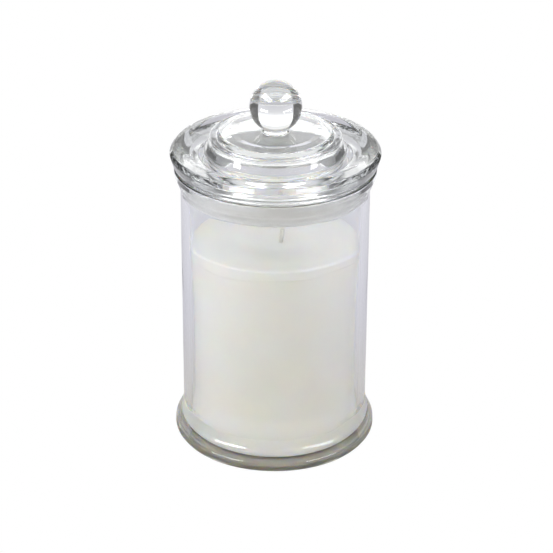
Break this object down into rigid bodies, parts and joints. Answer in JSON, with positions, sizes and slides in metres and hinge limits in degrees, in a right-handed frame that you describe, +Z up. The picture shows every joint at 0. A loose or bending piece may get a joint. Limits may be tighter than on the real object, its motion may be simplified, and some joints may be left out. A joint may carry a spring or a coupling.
{
  "type": "apothecary jar with candle",
  "caption": "Clear glass apothecary jar with a flared foot, a ball-knobbed lid on a ribbed seal, and a candle poured into it.",
  "frame": {"origin": "centre of the base, on the surface that the jar stands on", "axes": "+Z up along the jar's axis of revolution; the wick leans towards +X"},
  "size_m": [0.0886, 0.0886, 0.1624],
  "materials": {
    "jar_glass": "clear pressed glass, fire polished",
    "lid_glass": "clear pressed glass, fire polished",
    "seal": "soft translucent plastic, satin",
    "wax": "translucent white wax, satin",
    "wick_cotton": "braided cotton, waxed",
    "tinplate": "bright tinplate",
    "sticker": "double-sided adhesive foam"
  },
  "bodies": {
    "jar_body": {"jar": "jar_glass", "candle_wax": "wax", "wick": "wick_cotton", "wick_sustainer": "tinplate", "wick_sticker": "sticker"},
    "seal_ring": {"lid_seal": "seal"},
    "lid_body": {"lid": "lid_glass", "lid_knob": "lid_glass"}
  },
  "joints": [
    {"name": "lid_lift", "type": "slide", "parent": "jar_body", "child": "seal_ring", "axis": [0, 0, 1], "range_m": [0, 0.04]},
    {"name": "lid_turn", "type": "hinge", "parent": "seal_ring", "child": "lid_body", "pos_m": [0, 0, 0.12], "axis": [0, 0, 1], "continuous": true}
  ]
}
